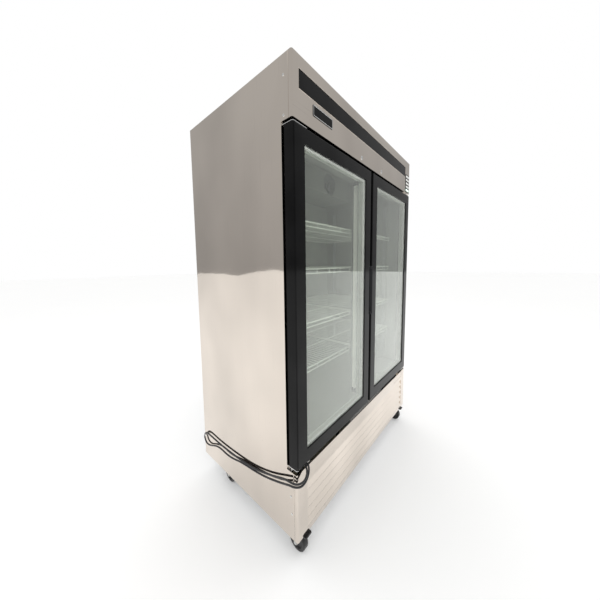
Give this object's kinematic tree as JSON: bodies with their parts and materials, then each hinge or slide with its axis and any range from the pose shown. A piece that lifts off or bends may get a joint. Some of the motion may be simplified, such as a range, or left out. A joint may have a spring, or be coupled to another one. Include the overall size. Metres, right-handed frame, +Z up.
{
  "type": "glass door merchandiser",
  "caption": "Tall stainless refrigerated display cabinet on casters with glass swing doors, wire shelves and a louvred machine compartment below.",
  "frame": {"origin": "on the floor under the middle of the cabinet", "axes": "+X to the right seen from the front, +Y to the rear, +Z up"},
  "size_m": [1.4022, 0.8222, 2.106],
  "materials": {
    "stainless": "brushed stainless sheet, horizontal grain",
    "steel_bracket": "zinc plated steel",
    "black_frame": "gloss black painted aluminium",
    "black_plastic": "gloss black plastic",
    "black_matte": "matt black moulded plastic",
    "glass": "clear insulating glass",
    "white_trim": "white moulded trim",
    "white_liner": "white painted aluminium liner",
    "foam": "rigid foam",
    "gasket": "soft magnetic seal",
    "shelf_wire": "white coated wire",
    "light_cover": "frosted lamp cover",
    "chrome": "polished",
    "display": "backlit display window",
    "key": "pale push keys",
    "coil": "finned aluminium coil",
    "fan": "moulded fan",
    "fan_metal": "pressed aluminium fan",
    "compressor_paint": "black painted steel",
    "galvanised": "galvanised steel",
    "cord_jacket": "flexible cord jacket",
    "tyre": "solid caster tread",
    "caster_steel": "zinc plated steel"
  },
  "bodies": {
    "cabinet": {"access_plate": "stainless", "back_panel": "galvanised", "badge_plate": "black_plastic", "base_pan": "galvanised", "caster_plates": "caster_steel", "compressor": "compressor_paint", "condenser_unit": "coil", "controller_case": "black_plastic", "controller_display": "display", "cord_gland": "black_matte", "cord_peg": "steel_bracket", "electrical_box": "galvanised", "evaporator_coil": "coil", "evaporator_cover": "white_liner", "face_frame": "black_plastic", "grille_panel": "stainless", "header_panel": "stainless", "header_strip": "black_plastic", "hinge_brackets": "steel_bracket", "inner_liner": "white_liner", "insulation": "foam", "light_bars": "light_cover", "mains_cord": "cord_jacket", "mains_plug": "black_matte", "panel_screws": "steel_bracket", "shelf_supports": "galvanised", "shelves_left": "shelf_wire", "shelves_right": "shelf_wire", "side_panel_left": "stainless", "side_panel_right": "stainless", "top_panel": "galvanised"},
    "left_door": {"door_frame_left": "black_frame", "door_glass_left": "glass", "glazing_trim_left": "white_trim", "door_gasket_left": "gasket", "finger_pull_left": "black_matte"},
    "left_lock": {"lock_left": "chrome"},
    "left_evaporator_fan": {"evaporator_fan_left": "fan"},
    "left_brake": {"caster_brake_left": "caster_steel"},
    "front_left_fork": {"caster_fork_front_left": "caster_steel"},
    "front_left_wheel": {"caster_wheel_front_left": "tyre"},
    "rear_left_fork": {"caster_fork_rear_left": "caster_steel"},
    "rear_left_wheel": {"caster_wheel_rear_left": "tyre"},
    "right_door": {"door_frame_right": "black_frame", "door_glass_right": "glass", "glazing_trim_right": "white_trim", "door_gasket_right": "gasket", "finger_pull_right": "black_matte"},
    "right_lock": {"lock_right": "chrome"},
    "right_evaporator_fan": {"evaporator_fan_right": "fan"},
    "right_brake": {"caster_brake_right": "caster_steel"},
    "front_right_fork": {"caster_fork_front_right": "caster_steel"},
    "front_right_wheel": {"caster_wheel_front_right": "tyre"},
    "rear_right_fork": {"caster_fork_rear_right": "caster_steel"},
    "rear_right_wheel": {"caster_wheel_rear_right": "tyre"},
    "key_1": {"control_key_1": "key"},
    "key_2": {"control_key_2": "key"},
    "key_3": {"control_key_3": "key"},
    "key_4": {"control_key_4": "key"},
    "condenser_fan_rotor": {"condenser_fan": "fan_metal"}
  },
  "joints": [
    {"name": "left_door_hinge", "type": "hinge", "parent": "cabinet", "child": "left_door", "pos_m": [-0.663, -0.372, 0.4555], "axis": [0, 0, -1], "range_deg": [0, 110], "stiffness_Nm_per_rad": 2.5},
    {"name": "left_lock_turn", "type": "hinge", "parent": "cabinet", "child": "left_lock", "pos_m": [-0.1325, -0.398, 1.898], "axis": [0, -1, 0], "range_deg": [0, 90]},
    {"name": "left_evaporator_fan_spin", "type": "hinge", "parent": "cabinet", "child": "left_evaporator_fan", "pos_m": [-0.26, 0.118, 1.957], "axis": [0, 1, 0], "continuous": true},
    {"name": "right_door_hinge", "type": "hinge", "parent": "cabinet", "child": "right_door", "pos_m": [0.663, -0.372, 0.4555], "axis": [0, 0, 1], "range_deg": [0, 110], "stiffness_Nm_per_rad": 2.5},
    {"name": "right_lock_turn", "type": "hinge", "parent": "cabinet", "child": "right_lock", "pos_m": [0.1325, -0.398, 1.898], "axis": [0, 1, 0], "range_deg": [0, 90]},
    {"name": "right_evaporator_fan_spin", "type": "hinge", "parent": "cabinet", "child": "right_evaporator_fan", "pos_m": [0.26, 0.118, 1.957], "axis": [0, 1, 0], "continuous": true},
    {"name": "condenser_fan_spin", "type": "hinge", "parent": "cabinet", "child": "condenser_fan_rotor", "pos_m": [0.15, -0.178, 0.262], "axis": [0, 1, 0], "continuous": true},
    {"name": "key_1_press", "type": "slide", "parent": "cabinet", "child": "key_1", "axis": [0, 1, 0], "range_m": [0, 0.0008], "stiffness_N_per_m": 600},
    {"name": "key_2_press", "type": "slide", "parent": "cabinet", "child": "key_2", "axis": [0, 1, 0], "range_m": [0, 0.0008], "stiffness_N_per_m": 600},
    {"name": "key_3_press", "type": "slide", "parent": "cabinet", "child": "key_3", "axis": [0, 1, 0], "range_m": [0, 0.0008], "stiffness_N_per_m": 600},
    {"name": "key_4_press", "type": "slide", "parent": "cabinet", "child": "key_4", "axis": [0, 1, 0], "range_m": [0, 0.0008], "stiffness_N_per_m": 600},
    {"name": "front_left_swivel", "type": "hinge", "parent": "cabinet", "child": "front_left_fork", "pos_m": [-0.626, -0.31, 0.11], "axis": [0, 0, 1], "continuous": true},
    {"name": "front_left_roll", "type": "hinge", "parent": "front_left_fork", "child": "front_left_wheel", "pos_m": [-0.626, -0.346, 0.046], "axis": [1, 0, 0], "continuous": true},
    {"name": "front_right_swivel", "type": "hinge", "parent": "cabinet", "child": "front_right_fork", "pos_m": [0.626, -0.31, 0.11], "axis": [0, 0, 1], "continuous": true},
    {"name": "front_right_roll", "type": "hinge", "parent": "front_right_fork", "child": "front_right_wheel", "pos_m": [0.626, -0.346, 0.046], "axis": [1, 0, 0], "continuous": true},
    {"name": "rear_left_swivel", "type": "hinge", "parent": "cabinet", "child": "rear_left_fork", "pos_m": [-0.626, 0.241, 0.11], "axis": [0, 0, 1], "continuous": true},
    {"name": "rear_left_roll", "type": "hinge", "parent": "rear_left_fork", "child": "rear_left_wheel", "pos_m": [-0.626, 0.205, 0.046], "axis": [1, 0, 0], "continuous": true},
    {"name": "rear_right_swivel", "type": "hinge", "parent": "cabinet", "child": "rear_right_fork", "pos_m": [0.626, 0.241, 0.11], "axis": [0, 0, 1], "continuous": true},
    {"name": "rear_right_roll", "type": "hinge", "parent": "rear_right_fork", "child": "rear_right_wheel", "pos_m": [0.626, 0.205, 0.046], "axis": [1, 0, 0], "continuous": true},
    {"name": "left_brake_press", "type": "hinge", "parent": "front_left_fork", "child": "left_brake", "pos_m": [-0.626, -0.333, 0.099], "axis": [1, 0, 0], "range_deg": [0, 8]},
    {"name": "right_brake_press", "type": "hinge", "parent": "front_right_fork", "child": "right_brake", "pos_m": [0.626, -0.333, 0.099], "axis": [1, 0, 0], "range_deg": [0, 8]}
  ]
}
